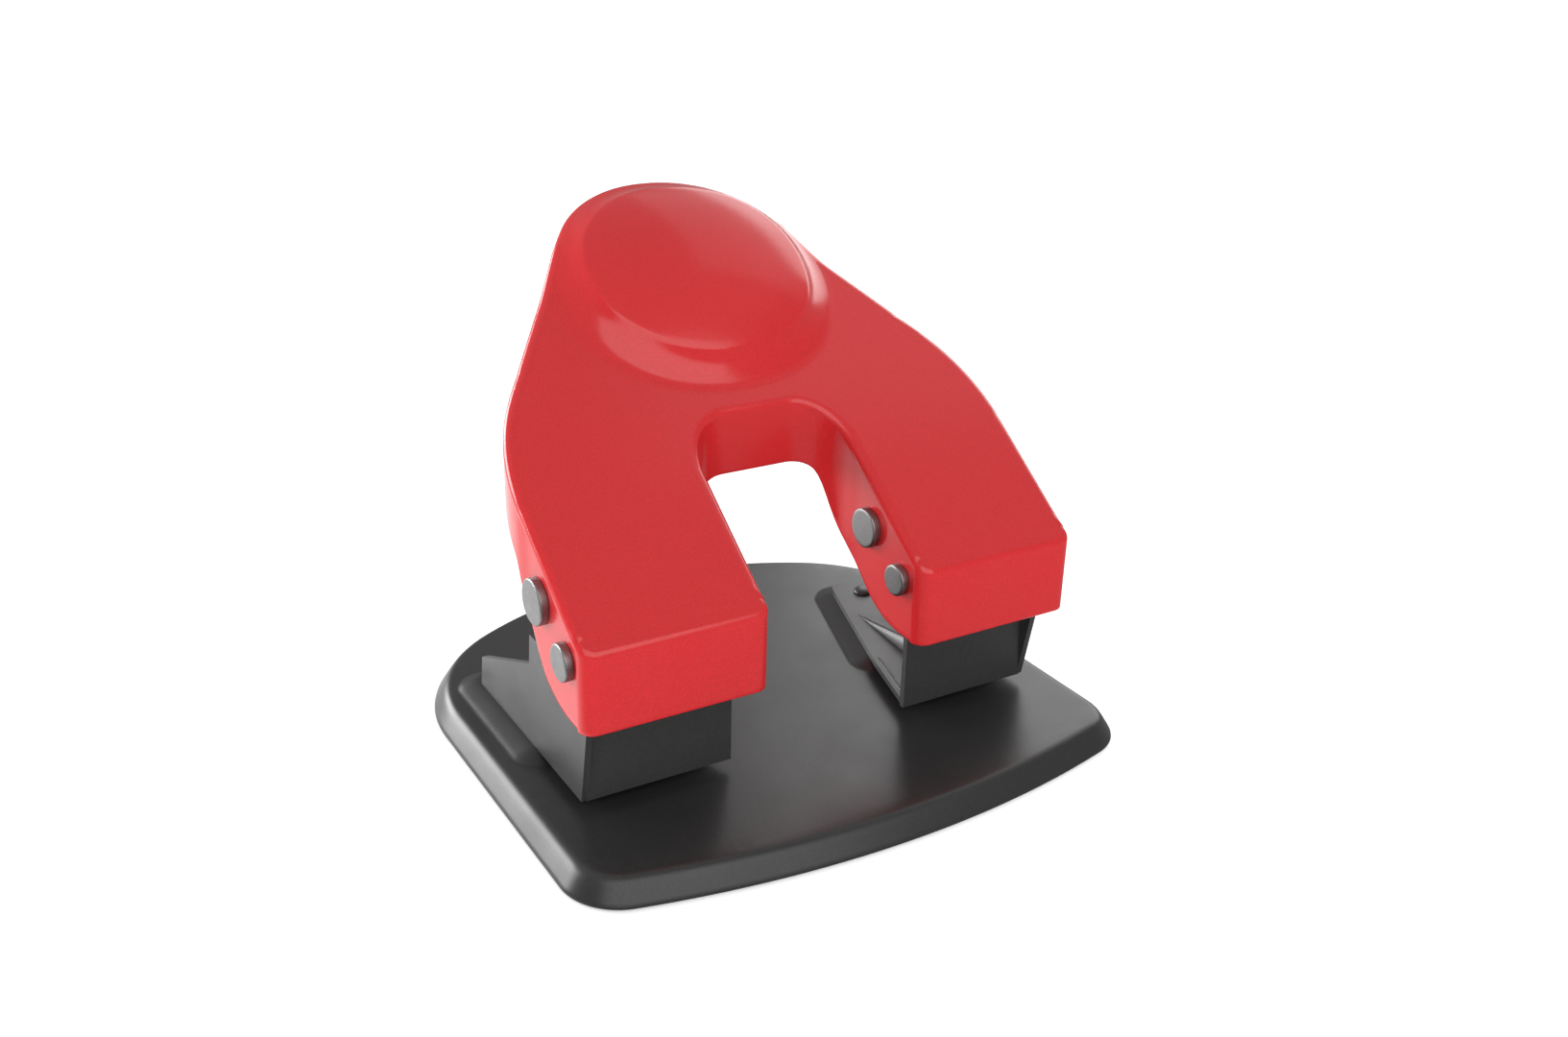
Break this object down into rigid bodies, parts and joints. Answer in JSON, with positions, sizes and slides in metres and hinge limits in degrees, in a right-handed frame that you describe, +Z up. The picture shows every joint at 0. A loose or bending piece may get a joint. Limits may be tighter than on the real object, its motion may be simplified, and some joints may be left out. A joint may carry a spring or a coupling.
{
  "type": "two hole punch",
  "caption": "Desk paper punch: pressed base plate, paired spring-return punch heads and one tilted U-shaped red handle with a palm dome.",
  "frame": {"origin": "centre of the base's plan box, on the surface the feet stand on", "axes": "+Z up; +Y from the paper side to the palm end; +X to the right of a person who feeds paper from the front"},
  "size_m": [0.1396, 0.1354, 0.1182],
  "materials": {
    "handle_paint": "satin-gloss red powder coat with a fine texture on pressed steel",
    "base_paint": "satin black paint on pressed steel",
    "bracket_paint": "satin dark grey paint on bent steel sheet",
    "pin_steel": "dull grey phosphated steel, turned",
    "plated_steel": "zinc plated steel",
    "tool_steel": "hardened and ground steel",
    "spring_steel": "drawn spring wire",
    "rubber": "matte black rubber",
    "tray_plastic": "matte black moulded plastic",
    "nylon": "natural nylon"
  },
  "bodies": {
    "base": {"base_plate": "base_paint", "foot_front_left": "rubber", "foot_front_right": "rubber", "foot_rear_left": "rubber", "foot_rear_right": "rubber", "die_left": "tool_steel", "bracket_left": "bracket_paint", "rivets_left": "bracket_paint", "guide_bush_left": "plated_steel", "return_spring_left": "spring_steel", "die_right": "tool_steel", "bracket_right": "bracket_paint", "rivets_right": "bracket_paint", "guide_bush_right": "plated_steel", "return_spring_right": "spring_steel"},
    "handle_body": {"handle": "handle_paint", "pivot_pin_left": "pin_steel", "drive_pin_left": "pin_steel", "pivot_cap_left": "pin_steel", "drive_cap_left": "pin_steel", "pivot_spacer_left": "nylon", "pivot_pin_right": "pin_steel", "drive_pin_right": "pin_steel", "pivot_cap_right": "pin_steel", "drive_cap_right": "pin_steel", "pivot_spacer_right": "nylon"},
    "tray": {"chip_tray": "tray_plastic"},
    "punch_unit_left": {"punch_left": "tool_steel", "spring_washer_left": "plated_steel", "retaining_clip_left": "plated_steel"},
    "punch_unit_right": {"punch_right": "tool_steel", "spring_washer_right": "plated_steel", "retaining_clip_right": "plated_steel"}
  },
  "joints": [
    {"name": "handle_press", "type": "hinge", "parent": "base", "child": "handle_body", "pos_m": [0, -0.03315, 0.0426], "axis": [-1, 0, 0], "range_deg": [0, 23], "stiffness_Nm_per_rad": 1.1, "springref_deg": -19.77},
    {"name": "tray_hinge", "type": "hinge", "parent": "base", "child": "tray", "pos_m": [-0.0636, -0.01035, 0.0026], "axis": [0, 1, 0], "range_deg": [0, 80]},
    {"name": "punch_stroke_left", "type": "slide", "parent": "base", "child": "punch_unit_left", "axis": [0, 0, -1], "range_m": [0, 0.0056], "deforming": ["return_spring_left"]},
    {"name": "punch_stroke_right", "type": "slide", "parent": "base", "child": "punch_unit_right", "axis": [0, 0, -1], "range_m": [0, 0.0056], "deforming": ["return_spring_right"]}
  ],
  "couplings": [
    {"joint": "punch_stroke_left", "follows": "handle_press", "m_per_rad": 0.01395},
    {"joint": "punch_stroke_right", "follows": "handle_press", "m_per_rad": 0.01395}
  ]
}
